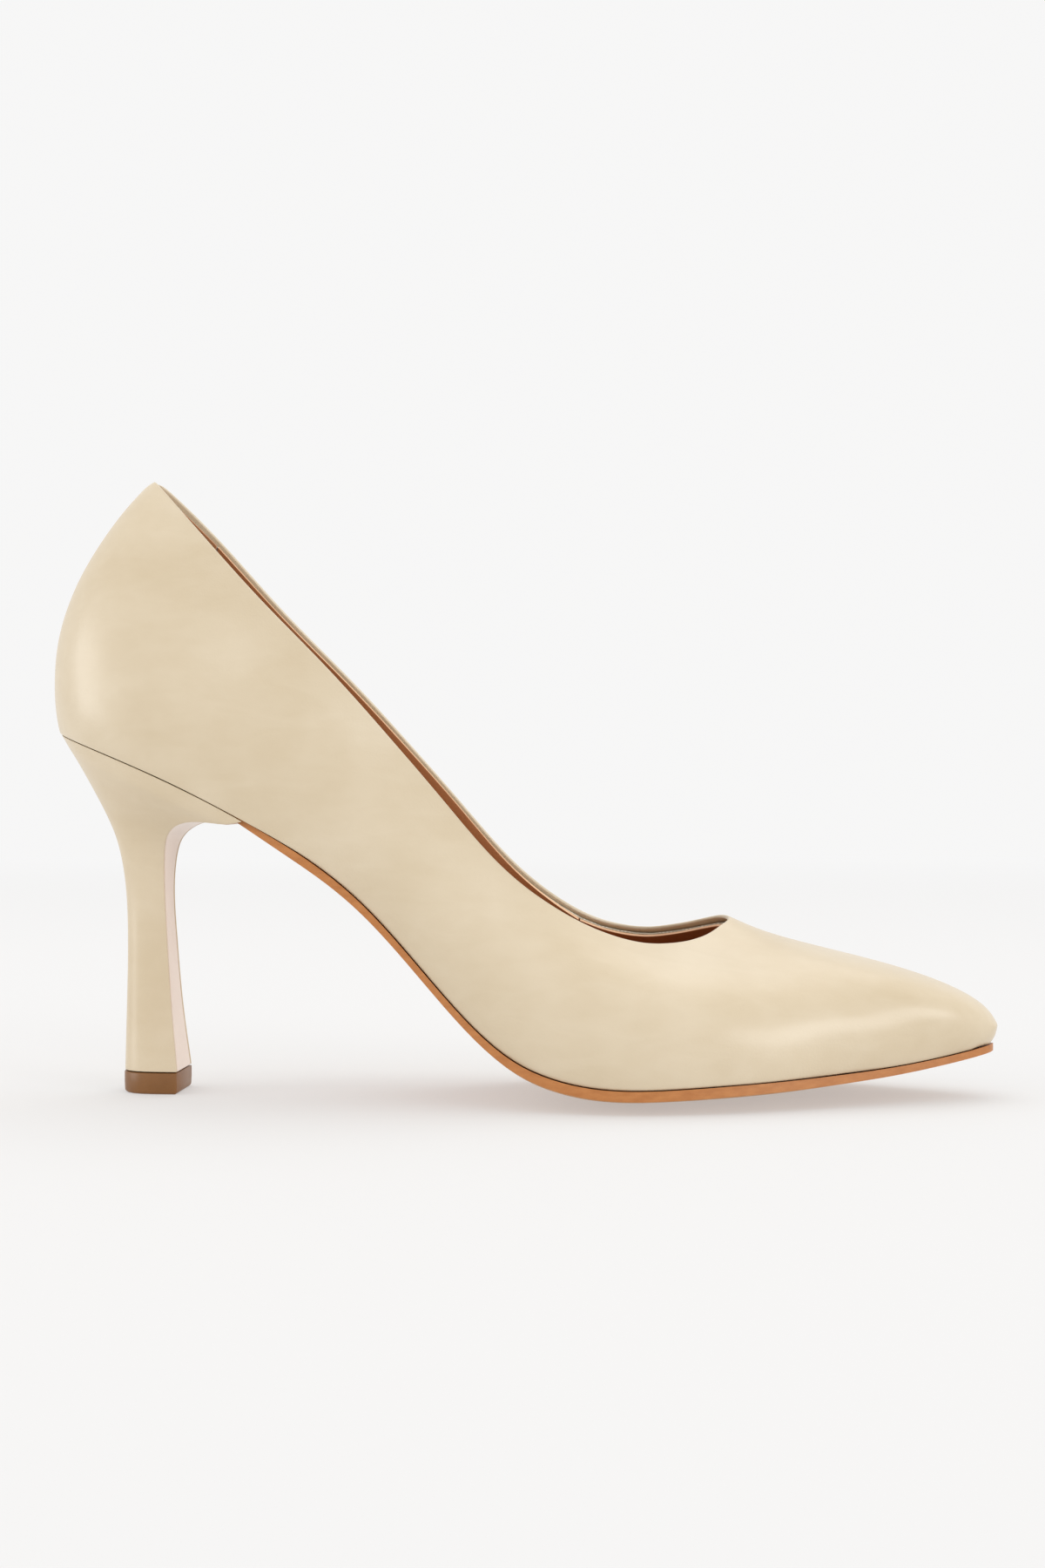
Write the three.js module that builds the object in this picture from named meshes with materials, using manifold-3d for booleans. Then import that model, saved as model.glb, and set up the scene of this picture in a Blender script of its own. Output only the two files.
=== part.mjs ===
// High heel pump, right foot: pointed court shoe with a covered heel.
// Millimetres. +X to the toe, +Y to the inner (medial) side, +Z up, the ground at z = 0.
import * as THREE from "three";
import { ParametricGeometry } from "three/addons/geometries/ParametricGeometry.js";
import { mergeVertices } from "three/addons/utils/BufferGeometryUtils.js";
import Module from "manifold-3d";

const wasm = await Module();
wasm.setup();
const { lerp, smoothstep } = THREE.MathUtils;

// ---- driving dimensions ----
const shoeLength = 237;
const shoeWidth = 78;
const heelHeight = 90.3;
const toeSpring = 7.3;
const ballHeight = 5.8;
const wallHeight = 63.4;

const gap = 0.3;
const upperThick = 1.2;
const stiffenerThick = 0.9;
const tapeThick = 0.4;
const liningThick = 0.8;
const marginWidth = 9;
const boardThick = 2;
const foamThick = 1.5;
const fillerThick = 1.2;
const sockThick = 0.8;
const outsoleThick = 2.3;
const outsoleProud = 0.4;
const tongueThick = 0.6;
const toeThinning = 0.6;
const tongueLength = 12;
const crownDepth = 3.7;

const coverThick = 0.8;
const tipHeight = 5.6;
const tipLength = 15;
const tipWidth = 17;
const neckLength = 11.5;
const neckWidth = 11.4;

const tubeDiameter = 5;
const tubeWall = 1;
const tubeToScrew = 3.4;
const pinClearance = 0.2;
const pinDiameter = tubeDiameter - 2 * (tubeWall + pinClearance);
const pinLength = 15;
const screwDiameter = 4;
const screwLength = 22;
const nailDiameter = 1.8;
const nailLength = 13;
const nailSpread = 11;
const headThick = 0.9;
const shankWidth = 12;
const shankThick = 0.8;
const rivetDiameter = 2.4;
const rivetLength = 1.4;

// ---- the last: stations from the toe (0) to the heel back (12), alike on both sides ----
const modelLength = 237;
const modelWidth = 78;
const modelWall = 63.4;
const modelHeel = 90.3;
const scaleX = shoeLength / modelLength;
const scaleY = shoeWidth / modelWidth;
const scaleWall = wallHeight / modelWall;
const steepness = heelHeight / modelHeel;
const backStation = 12;
const stationCount = 2 * backStation;
const stepsPerStation = 3;

// featherline in plan: x, lateral y, medial y, and x of the middle line it closes to
const feather = [
  [116.3, 4, 4, 100],
  [110.6, -2.6, 10.6, 98],
  [96, -10.5, 19, 90],
  [78, -19.5, 28, 74],
  [55, -30, 35.5, 53],
  [28, -36.4, 34.8, 28],
  [0, -32, 25, 2],
  [-28, -24, 18, -28],
  [-55, -22.5, 19.5, -55],
  [-80, -23.8, 22.8, -79],
  [-101, -20, 20, -92],
  [-113, -11, 11, -98],
  [-117, 0, 0, -100],
];

// topline: x, lateral y and rise over the featherline's station, medial y and rise
const topline = [
  [51.6, 4, 30.9, 4, 30.9],
  [49.5, -1.5, 30.5, 9.5, 32.3],
  [45, -7.5, 30.4, 15, 33.4],
  [38, -13.5, 30.8, 20.5, 33.3],
  [28, -19.5, 32.8, 24.5, 33.6],
  [14, -24.5, 39.6, 27, 38.2],
  [-3, -25.5, 45.9, 25, 44.6],
  [-22, -24, 39.8, 22.5, 38.6],
  [-43, -22, 40.4, 21, 39],
  [-63, -18.5, 47, 18.5, 46],
  [-79.5, -13.5, 55.7, 13.5, 55.8],
  [-90, -7, 62.5, 7, 62.5],
  [-93.6, 0, 64, 0, 64],
];

// wall fullness: out and up at the featherline, out and up at mid wall, out and down at the topline
const fullness = [
  [9, 8.4, 13.6, 6.2, 14.4, 9.7],
  [8.5, 7.7, 12.8, 6.2, 13.6, 9],
  [6, 9, 9, 6, 11, 8],
  [4.5, 10, 7, 5.5, 9.5, 7],
  [4, 11, 4, 4.5, 8, 6.5],
  [3.5, 12, 3, 3, 6, 8],
  [4, 12, 2, 1, 4, 11],
  [5, 12, 2, 0, 2.5, 12],
  [5.5, 13, 2, 0, 3, 12],
  [5.5, 14, 2, 0, 4, 14],
  [5, 14, 3, 0.5, 6, 14],
  [4, 14, 5.5, 1.5, 10, 13],
  [3.5, 14, 6.6, 2, 12, 12],
];

// side view of the featherline: x, and its share of the heel's rise or of the toe spring
const heelRise = [
  [-117, 1],
  [-99, 0.924],
  [-82, 0.838],
  [-66, 0.74],
  [-48.5, 0.618],
  [-35.5, 0.492],
  [-22, 0.315],
  [-10, 0.163],
  [0, 0.0686],
  [10, 0.0237],
  [20, 0.0036],
  [30, 0],
];
const toeRise = [
  [30, 0],
  [50, 0.123],
  [72, 0.274],
  [93, 0.507],
  [115.5, 1],
  [126, 1.3],
];

function profile(rows) {
  const places = rows.map((row) => row[0] * scaleX);
  const values = rows.map((row) => row[1]);
  const curve = new THREE.CubicInterpolant(places, values, 1, new Float64Array(1));
  return (x) => curve.evaluate(x)[0];
}

const heelShare = profile(heelRise);
const toeShare = profile(toeRise);
const ballX = 30 * scaleX;

function featherZ(x) {
  if (x > ballX) return ballHeight + toeSpring * toeShare(x);
  return ballHeight + (heelHeight - ballHeight) * heelShare(x);
}

// a closed curve with one point per station: back by the lateral side, forward by the medial
function ring(point) {
  const points = [];
  for (let k = 0; k < stationCount; k++) {
    const lateral = k <= backStation;
    points.push(point(lateral ? k : stationCount - k, lateral));
  }
  return new THREE.CatmullRomCurve3(points, true, "catmullrom", 0.5);
}

const featherRing = ring((k, lateral) => {
  const [x, lateralY, medialY] = feather[k];
  return new THREE.Vector3(x * scaleX, (lateral ? lateralY : medialY) * scaleY, 0);
});
const spineRing = ring((k) => {
  const [, lateralY, medialY, x] = feather[k];
  return new THREE.Vector3(x * scaleX, 0.5 * (lateralY + medialY) * scaleY, 0);
});
const toplineRing = ring((k, lateral) => {
  const [x, lateralY, lateralRise, medialY, medialRise] = topline[k];
  const rise = (lateral ? lateralRise : medialRise) * scaleWall;
  const base = featherZ(feather[k][0] * scaleX);
  return new THREE.Vector3(x * scaleX, (lateral ? lateralY : medialY) * scaleY, base + rise);
});
const lowRing = ring((k) => new THREE.Vector3(...fullness[k].slice(0, 3)));
const highRing = ring((k) => new THREE.Vector3(...fullness[k].slice(3, 6)));

const turn = (u) => u - Math.floor(u);
const at = (curve, u) => curve.getPoint(turn(u));

// level direction out of a ring at u
function outOf(curve, u) {
  const step = 0.002;
  const along = at(curve, u + step).sub(at(curve, u - step));
  return new THREE.Vector3(along.y, -along.x, 0).normalize().negate();
}

// outer surface of the upper: u round the shoe, h from the featherline (0) to the topline (1)
function wall(u, h) {
  const foot = at(featherRing, u);
  foot.z = featherZ(foot.x);
  const top = at(toplineRing, u);
  const { x: lowOut, y: lowUp, z: midOut } = at(lowRing, u);
  const { x: midUp, y: highOut, z: highDown } = at(highRing, u);
  const footOut = outOf(featherRing, u);
  const low = foot.clone().addScaledVector(footOut, lowOut);
  low.z += lowUp * scaleWall;
  const high = top.clone().addScaledVector(outOf(toplineRing, u), highOut);
  high.z -= highDown * scaleWall;
  const middle = low.clone().add(high).multiplyScalar(0.5).addScaledVector(footOut, midOut);
  middle.z += midUp * scaleWall;
  const g = 1 - h;
  return foot
    .multiplyScalar(g ** 4)
    .addScaledVector(low, 4 * h * g ** 3)
    .addScaledVector(middle, 6 * h * h * g * g)
    .addScaledVector(high, 4 * h ** 3 * g)
    .addScaledVector(top, h ** 4);
}

// a point of the wall, moved inward along its normal
function inside(u, h, depth) {
  const stepU = 0.004;
  const stepH = 0.01;
  const low = Math.max(h - stepH, 0);
  const high = Math.min(h + stepH, 1);
  const round = wall(u + stepU, h).sub(wall(u - stepU, h));
  const rise = wall(u, high).sub(wall(u, low));
  const inward = round.cross(rise).normalize();
  return wall(u, h).addScaledVector(inward, depth);
}

// a point of the last's bottom: inset from the featherline toward the middle line, and lifted
function bottom(u, inset, lift) {
  const edge = at(featherRing, u);
  const middle = at(spineRing, u);
  const reach = edge.distanceTo(middle);
  const share = Math.max(1 - inset / reach, 0);
  const point = middle.lerp(edge, share);
  const crown = crownDepth * crownShare(point.x) * (1 - Math.min(share, 1) ** 2);
  point.z = featherZ(point.x) - crown + lift;
  return point;
}

// the bottom is crowned under the ball and flat at the heel seat
function crownShare(x) {
  return smoothstep(x, -60 * scaleX, 5 * scaleX)
    * (1 - 0.75 * smoothstep(x, 50 * scaleX, 110 * scaleX));
}

// ---- solids ----
function positionsOnly(geometry) {
  const plain = geometry.clone();
  plain.deleteAttribute("normal");
  plain.deleteAttribute("uv");
  return plain;
}

// merges shared points, drops triangles without area and turns the faces outward
function closed(geometry) {
  const merged = mergeVertices(positionsOnly(geometry), 1e-5);
  const index = merged.index.array;
  const kept = [];
  for (let k = 0; k < index.length; k += 3) {
    const [a, b, c] = index.slice(k, k + 3);
    if (a !== b && b !== c && c !== a) kept.push(a, b, c);
  }
  const place = merged.getAttribute("position");
  const corner = (k) => new THREE.Vector3().fromBufferAttribute(place, kept[k]);
  let volume = 0;
  for (let k = 0; k < kept.length; k += 3) {
    volume += corner(k).dot(corner(k + 1).cross(corner(k + 2)));
  }
  if (volume < 0) kept.reverse();
  merged.setIndex(kept);
  merged.computeVertexNormals();
  return merged;
}

// a solid through a row of loops that all have the same number of points
function loft(loops) {
  const rows = loops.length - 1;
  const count = loops[0].length;
  const place = (u, v, target) => {
    const loop = loops[Math.round(u * rows)];
    target.copy(loop[Math.round(v * count) % count]);
  };
  return closed(new ParametricGeometry(place, rows, count));
}

// a loop pressed flat between its two halves, which closes the end of a loft
function pinched(loop) {
  const last = loop.length - 1;
  return loop.map((point, k) => point.clone().lerp(loop[last - k], 0.5));
}

const steps = (from, to, count) =>
  Array.from({ length: count + 1 }, (_, k) => from + ((to - from) * k) / count);

// a shell on the wall between two stations, at the given heights, with depths that vary with u and h
function shell(fromStation, toStation, heights, outerDepth, innerDepth) {
  const count = Math.round((toStation - fromStation) * stepsPerStation);
  const loops = steps(fromStation, toStation, count).map((station) => {
    const u = station / stationCount;
    const outer = heights.map((h) => inside(u, h, outerDepth(u, h)));
    const inner = heights.map((h) => inside(u, h, innerDepth(u, h)));
    return [...outer, ...inner.reverse()];
  });
  if (toStation - fromStation < stationCount) {
    loops.unshift(pinched(loops[0]));
    loops.push(pinched(loops[loops.length - 1]));
  }
  return loft(loops);
}

// reaches in stations from the toe or the back, and heights as shares of the wall
const puffReach = 3.4;
const puffTop = 0.5;
const counterReach = 3.4;
const counterTop = 0.72;
const tapeLow = 0.925;
const tapeHigh = 0.975;
const tapeFill = (tapeThick + 1.2 * gap) / (stiffenerThick + gap);
const stiffenerDepth = upperThick + gap;
const fade = 0.12;

// how full the space between upper and lining is, from 0 to 1, round the toe and the heel
function fill(u, h) {
  const station = turn(u) * stationCount;
  const fromToe = Math.min(station, stationCount - station);
  const fromBack = Math.abs(station - backStation);
  const puffed = (1 - smoothstep(fromToe, puffReach, puffReach + 1))
    * (1 - smoothstep(h, puffTop, puffTop + fade));
  const countered = (1 - smoothstep(fromBack, counterReach, counterReach + 1))
    * (1 - smoothstep(h, counterTop, counterTop + fade));
  const taped = tapeFill * smoothstep(h, tapeLow - fade, tapeLow - 0.25 * fade);
  return Math.max(puffed, countered, taped);
}

const liningDepth = (u, h) => stiffenerDepth + (stiffenerThick + gap) * fill(u, h);
const liningInner = (u, h) => liningDepth(u, h) + liningThick;

// ---- heel ----
const lipX = -66.3 * scaleX;
const backX = feather[backStation][0] * scaleX;
const tongueEndX = lipX - tongueLength;
const neckX = -94 * scaleX;

// the outsole's thickness: full under the foot, a thin tongue under the seat, thinner at the toe
function outsoleAt(x) {
  const edge = lerp(tongueThick, outsoleThick, smoothstep(x, lipX - 3, lipX + 7));
  return edge - toeThinning * smoothstep(x, 50 * scaleX, 110 * scaleX);
}

// the seat of the heel's core: the last's bottom, lowered where the outsole's tongue lies on it
function seatZ(x) {
  const tongue = (outsoleAt(x) + 1.3 * gap) * smoothstep(x, tongueEndX - 8, tongueEndX - 1);
  return featherZ(x) - gap - tongue;
}

// side view of the heel from the tip up: front x and z, rear x and z, half width, rear squareness
const lipZ = seatZ(lipX);
const backZ = seatZ(backX);
const neckFront = neckX + 0.41 * neckLength;
const neckRear = neckX - 0.52 * neckLength;
const tipFront = neckX + 0.56 * tipLength;
const tipRear = tipFront - tipLength;
const heelRow = (front, frontZ, rear, rearZ, half, power) => ({
  front: new THREE.Vector3(front, 0, frontZ),
  rear: new THREE.Vector3(rear, 0, rearZ),
  form: new THREE.Vector3(half, power, 0),
});
const widening = (share) => lerp(0.5 * neckWidth, 24.2 * scaleY, share);
const spread = (frontShare, frontRise, rearShare, rearRise, widthShare, power) =>
  heelRow(
    lerp(neckFront, lipX, frontShare),
    frontRise * lipZ,
    lerp(neckRear, backX, rearShare),
    rearRise * backZ,
    widening(widthShare),
    power,
  );
const heelRows = [
  heelRow(tipFront, tipHeight, tipRear, tipHeight, 0.5 * tipWidth, 4.5),
  heelRow(
    lerp(neckFront, tipFront, 0.5),
    0.32 * lipZ,
    lerp(neckRear, tipRear, 0.4),
    0.25 * backZ,
    lerp(0.5 * neckWidth, 0.5 * tipWidth, 0.4),
    4.2,
  ),
  spread(0.03, 0.55, 0, 0.42, 0.02, 3.8),
  spread(-0.005, 0.745, 0.03, 0.57, 0, 3.4),
  spread(0.01, 0.895, 0.14, 0.69, 0.1, 3.2),
  spread(0.075, 0.968, 0.31, 0.772, 0.27, 3.1),
  spread(0.25, 1.01, 0.52, 0.85, 0.52, 3.1),
  spread(0.53, 1.018, 0.74, 0.925, 0.76, 3.1),
  spread(0.86, 1.005, 0.91, 0.975, 0.93, 3.1),
];
const rowCurve = (key) =>
  new THREE.CatmullRomCurve3(heelRows.map((row) => row[key]), false, "catmullrom", 0.5);
const frontCurve = rowCurve("front");
const rearCurve = rowCurve("rear");
const formCurve = rowCurve("form");

// half width of the featherline at x behind the lip
function featherHalf(x, side) {
  let front = 7;
  let rear = backStation;
  for (let k = 0; k < 30; k++) {
    const middle = 0.5 * (front + rear);
    if (at(featherRing, (side * middle) / stationCount).x > x) front = middle;
    else rear = middle;
  }
  return Math.abs(at(featherRing, (side * front) / stationCount).y);
}

// a point of a curve of the heel's side view, moved into the heel
function sunk(curve, t, inset, side) {
  const along = curve.getTangent(t);
  const into = new THREE.Vector3(-side * along.z, 0, side * along.x);
  return curve.getPoint(t).addScaledVector(into, inset);
}

const sideShares = [0, 0.1, 0.26, 0.44, 0.62, 0.78, 0.9, 0.97, 1];

// half of a heel section at t (1 is the seat), from the breast corner round to the middle of the rear
function heelHalf(t, side, inset, frontInset, seat) {
  if (t >= 1) return seatHalf(side, inset, lipX - 6 * frontInset, seat);
  const front = sunk(frontCurve, t, frontInset, 1);
  const rear = sunk(rearCurve, t, inset, -1);
  const { x: half, y: power } = formCurve.getPoint(t);
  return sideShares.map((share) => {
    const point = front.clone().lerp(rear, share);
    point.y = -side * (half - inset) * Math.sqrt(1 - share ** power);
    return point;
  });
}

// the cover's sides stand past the tongue, up to the upper
const coverSeatZ = (x) => featherZ(x) - gap;

function seatHalf(side, inset, frontX, seat) {
  const rearX = backX + inset;
  return sideShares.map((share) => {
    const x = lerp(frontX, rearX, share);
    const half = share === 1 ? 0 : Math.max(featherHalf(Math.max(x - inset, backX), side) - inset, 0);
    return new THREE.Vector3(x, -side * half, seat(x));
  });
}

const heelSteps = steps(0, 0.985, 15);

function heelCore() {
  const inset = coverThick + 2.3 * gap;
  const loops = [...heelSteps, 1].map((t) => {
    const lateral = heelHalf(t, 1, inset, inset, seatZ);
    const medial = heelHalf(t, -1, inset, inset, seatZ);
    const middle = lateral[0].clone().setY(0);
    return [middle, ...lateral, ...medial.reverse(), middle];
  });
  return loft([pinched(loops[0]), ...loops, pinched(loops[loops.length - 1])]);
}

function heelCover() {
  const half = (t, side, inset) => heelHalf(t, side, inset, 0, coverSeatZ);
  const wrap = (t, inset) => [...half(t, 1, inset), ...half(t, -1, inset).reverse().slice(1)];
  const loops = [...heelSteps, 1].map((t) => [...wrap(t, 0), ...wrap(t, coverThick).reverse()]);
  return loft([pinched(loops[0]), ...loops, pinched(loops[loops.length - 1])]);
}

function breastCover() {
  const loops = heelSteps.map((t) => {
    const half = formCurve.getPoint(t).x - coverThick - 1.9 * gap;
    const across = steps(-half, half, 4);
    const outer = sunk(frontCurve, t, 0, 1);
    const inner = sunk(frontCurve, t, coverThick, 1);
    return [
      ...across.map((y) => outer.clone().setY(y)),
      ...across.map((y) => inner.clone().setY(y)).reverse(),
    ];
  });
  return loft([pinched(loops[0]), ...loops, pinched(loops[loops.length - 1])]);
}

// ---- flat layers ----
// a sheet over the last's bottom, inset from the featherline, between two lifts that vary with x
function sheet(inset, lowLift, highLift, shares = [0, 0.55, 1]) {
  const count = stationCount * stepsPerStation;
  const loops = steps(0, 1, count).map((u) => {
    const reach = at(featherRing, u).distanceTo(at(spineRing, u));
    const row = (lift) =>
      shares.map((share) => {
        const edge = typeof inset === "function" ? inset(at(featherRing, u).x) : inset;
        const point = bottom(u, reach - share * (reach - edge), 0);
        point.z += lift(point.x);
        return point;
      });
    return [...row(() => highLift), ...row(lowLift).reverse()];
  });
  return loft(loops);
}

const solid = (geometry) => {
  const plain = mergeVertices(positionsOnly(geometry), 1e-5);
  return new wasm.Manifold(
    new wasm.Mesh({
      numProp: 3,
      vertProperties: new Float32Array(plain.getAttribute("position").array),
      triVerts: new Uint32Array(plain.index.array),
    }),
  );
};

function fromSolid(cut) {
  const mesh = cut.getMesh();
  const geometry = new THREE.BufferGeometry();
  geometry.setAttribute("position", new THREE.BufferAttribute(new Float32Array(mesh.vertProperties), 3));
  geometry.setIndex([...mesh.triVerts]);
  geometry.computeVertexNormals();
  return geometry;
}

const without = (geometry, ...tools) =>
  fromSolid(tools.reduce((rest, tool) => rest.subtract(solid(tool)), solid(geometry)));

// the part of a piece between two x and over a level
function between(geometry, rearX, frontX, lowZ = -heelHeight) {
  const height = 4 * heelHeight;
  const box = new THREE.BoxGeometry(frontX - rearX, 2 * shoeWidth, height);
  box.translate(0.5 * (frontX + rearX), 0, lowZ + 0.5 * height);
  return fromSolid(solid(geometry).intersect(solid(box)));
}

// a steeper shoe bends its shank more, which takes more room
const shankRoom = gap * steepness ** 2;
const boardLow = upperThick + shankRoom;
const boardHigh = boardLow + boardThick;
const foamLow = boardHigh + gap;
const foamHigh = foamLow + foamThick;
const sockLow = foamHigh + gap;
const sockHigh = sockLow + sockThick;
const boardInset = 4.4 * scaleX;
const foamInset = 3.8 * scaleX;
const sockInset = 3.4 * scaleX;
const boardJointX = -18 * scaleX;
const farX = 2 * shoeLength;

const board = sheet(boardInset, () => boardLow, boardHigh);
const tongueInset = coverThick + 5 * gap;
const outsolePlan = (x) => lerp(tongueInset, -outsoleProud, smoothstep(x, lipX + 0.5, lipX + 7));
// worn flat where the ball of the foot rests on the ground
const outsole = between(
  sheet(outsolePlan, (x) => -gap - outsoleAt(x), -gap, [0, 0.4, 0.75, 1]),
  tongueEndX,
  farX,
  0,
);

// ---- fasteners ----
// a pin with a flat head, its head's underside at the origin and its shank down
function headed(diameter, length, headDiameter) {
  const r = 0.5 * diameter;
  const outline = [
    [0, headThick],
    [0.5 * headDiameter, headThick],
    [0.5 * headDiameter, 0],
    [r, 0],
    [r, -length + r],
    [0.3 * r, -length],
    [0, -length],
  ];
  const lathe = new THREE.LatheGeometry(outline.map(([x, y]) => new THREE.Vector2(x, y)), 12);
  return closed(lathe.rotateX(0.5 * Math.PI));
}

const seatSlope = (x) => Math.atan2(featherZ(x + 1) - featherZ(x - 1), 2);
const lastLow = (x) => featherZ(x) - crownDepth * crownShare(x);

// turns and moves a piece to the seat at x, y, square to the board, lifted from the last's bottom
const ontoSeat = (geometry, x, y, lift) =>
  geometry.clone().rotateY(-seatSlope(x)).translate(x, y, lastLow(x) + lift);

const hole = (diameter, length, lift) =>
  new THREE.CylinderGeometry(0.5 * diameter + gap, 0.5 * diameter + gap, length, 16)
    .rotateX(0.5 * Math.PI)
    .translate(0, 0, lift);

// a pin or screw through the seat, its head sunk flush into the board at x, y
const headLift = boardHigh - 1.35 * headThick + gap - shankRoom;
const seatFastener = (diameter, length, x, y) =>
  ontoSeat(headed(diameter, length, 2 * diameter), x, y, headLift);
const seatBore = (diameter, length, x, y) =>
  ontoSeat(hole(diameter, 2 * length + 2 * gap, 0), x, y, headLift);
const seatRecess = (diameter, x, y) =>
  ontoSeat(hole(2 * diameter, 4, 2 - gap), x, y, headLift);

const screwX = neckX + 2;
const nails = [
  [screwX + 6, 1],
  [screwX + 6, -1],
  [screwX - 5, 1],
  [screwX - 5, -1],
].map(([x, side]) => [x, 0.5 * side * nailSpread]);
const shankFront = boardJointX + 8;
const shankRear = screwX + 9.5;
const rivetPlaces = [shankRear + 7, boardJointX - 7];
const rivets = rivetPlaces.map((x) => [rivetDiameter, rivetLength, x, shankMiddle(x)]);

function steelShank() {
  const stepCount = 22;
  const loops = steps(shankRear, shankFront, stepCount).map((x) => {
    const share = (x - shankRear) / (shankFront - shankRear);
    const half = 0.5 * shankWidth * (0.7 + 0.3 * Math.sin(Math.PI * share) ** 0.5);
    const low = lastLow(x) + 0.5 * (gap + shankRoom);
    const middle = shankMiddle(x);
    const across = [-half, 0, half].map((y) => new THREE.Vector3(x, middle + y, low));
    const over = across.map((point) => point.clone().setZ(low + shankThick));
    return [...across, ...over.reverse()];
  });
  return loft([pinched(loops[0]), ...loops, pinched(loops[loops.length - 1])]);
}

// y of the last's middle line at x
function shankMiddle(x) {
  let front = 4;
  let rear = 10;
  for (let k = 0; k < 24; k++) {
    const station = 0.5 * (front + rear);
    if (at(spineRing, station / stationCount).x > x) front = station;
    else rear = station;
  }
  return at(spineRing, front / stationCount).y;
}

// ---- top lift ----
function topLift() {
  const outline = (z, inset) => {
    const half = (side) =>
      sideShares.map((share) => {
        const x = lerp(tipFront - inset, tipRear + inset, share);
        const reach = (0.5 * tipWidth - inset) * Math.sqrt(1 - share ** 4.5);
        return new THREE.Vector3(x, -side * reach, z);
      });
    return [...half(1), ...half(-1).reverse()];
  };
  const top = tipHeight - gap;
  const loops = [outline(0, 0.5), outline(0.5, 0.1), outline(0.5 * top, 0), outline(top, 0)];
  return loft([pinched(loops[0]), ...loops, pinched(loops[3])]);
}

const pinLow = 1.6;
const boreX = neckX - 0.4;
const tubeLow = tipHeight + 2;
const screwTip = lastLow(screwX) + headLift - screwLength * Math.cos(seatSlope(screwX));
const tubeLength = screwTip - tubeToScrew - tubeLow;
const upright = (diameter, low, length, sides = 16) =>
  new THREE.CylinderGeometry(0.5 * diameter, 0.5 * diameter, length, sides)
    .rotateX(0.5 * Math.PI)
    .translate(boreX, 0, low + 0.5 * length);

function heelTube() {
  const outer = 0.5 * tubeDiameter;
  const inner = outer - tubeWall;
  const corners = [
    [inner, 0],
    [outer, 0],
    [outer, tubeLength],
    [inner, tubeLength],
    [inner, 0],
  ];
  const lathe = new THREE.LatheGeometry(corners.map(([x, y]) => new THREE.Vector2(x, y)), 16);
  return closed(lathe.rotateX(0.5 * Math.PI).translate(boreX, 0, tubeLow));
}

// ---- materials ----
const finish = (color, roughness, metalness = 0) =>
  new THREE.MeshStandardMaterial({ color, roughness, metalness });
const creamLeather = finish(0xdfd0ae, 0.5);
const tanLining = finish(0xb5744c, 0.7);
const suede = finish(0xc08a60, 0.9);
const soleLeather = finish(0xc6813f, 0.55);
const plasticTip = finish(0x8a6234, 0.45);
const stiffBoard = finish(0xa9895f, 0.85);
const cork = finish(0x9c7148, 0.9);
const foam = finish(0xe9dfc8, 0.95);
const whiteAbs = finish(0xd8d4c8, 0.5);
const steel = finish(0x9a9da0, 0.35, 1);
const fibre = finish(0xcfc4a8, 0.8);
const tape = finish(0xe6e0d0, 0.8);

// ---- assembly ----
const group = new THREE.Group();
function add(name, geometry, material) {
  const mesh = new THREE.Mesh(geometry, material);
  mesh.name = name;
  group.add(mesh);
}

function upper() {
  const heights = [0, 0.05, ...steps(0.13, 1, 8)];
  const innerHeights = [0.06, ...heights.slice(2)];
  const loops = steps(0, 1, stationCount * stepsPerStation).map((u) => {
    const outer = heights.map((h) => wall(u, h)).reverse();
    const under = [0.5 * marginWidth, marginWidth].map((inset) => bottom(u, inset, 0));
    const over = [marginWidth, 0.5 * marginWidth, 1.3].map((inset) => bottom(u, inset, upperThick));
    const inner = innerHeights.map((h) => inside(u, h, upperThick));
    return [...outer, ...under, ...over, ...inner];
  });
  return loft(loops);
}

const flatStiffener = () => stiffenerDepth;
const skived = (reach) => (u, h) => stiffenerDepth + stiffenerThick * (h > 0.9 * reach ? 0.5 : 1);
const tapeInner = () => stiffenerDepth + tapeThick;
const lowEdge = 0.07;
const seam = 0.02;
const vampReach = 5;
const gripReach = 2;
const liningHeights = (rows) => [...steps(lowEdge, tapeLow - fade, rows), tapeLow - 0.02, 0.985];
const lining = (fromStation, toStation, rows) =>
  shell(fromStation, toStation, liningHeights(rows), liningDepth, liningInner);
const counterFrom = backStation - counterReach;
const counterTo = backStation + counterReach;
const quarterRear = gripReach + seam;
const quarterFront = vampReach + seam;

add("upper_outer", upper(), creamLeather);
add(
  "toe_puff",
  shell(-puffReach, puffReach, steps(lowEdge, puffTop, 5), flatStiffener, skived(puffTop)),
  fibre,
);
add(
  "heel_counter",
  shell(counterFrom, counterTo, steps(lowEdge, counterTop, 6), flatStiffener, skived(counterTop)),
  fibre,
);
add("topline_tape", shell(0, stationCount, [tapeLow, tapeHigh], flatStiffener, tapeInner), tape);
add("vamp_lining", lining(-vampReach, vampReach, 6), tanLining);
add("quarter_lining_lateral", lining(quarterFront, backStation - quarterRear, 4), tanLining);
add("quarter_lining_medial", lining(backStation + quarterRear, stationCount - quarterFront, 4), tanLining);
add("heel_grip", lining(backStation - gripReach, backStation + gripReach, 5), suede);

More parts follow.
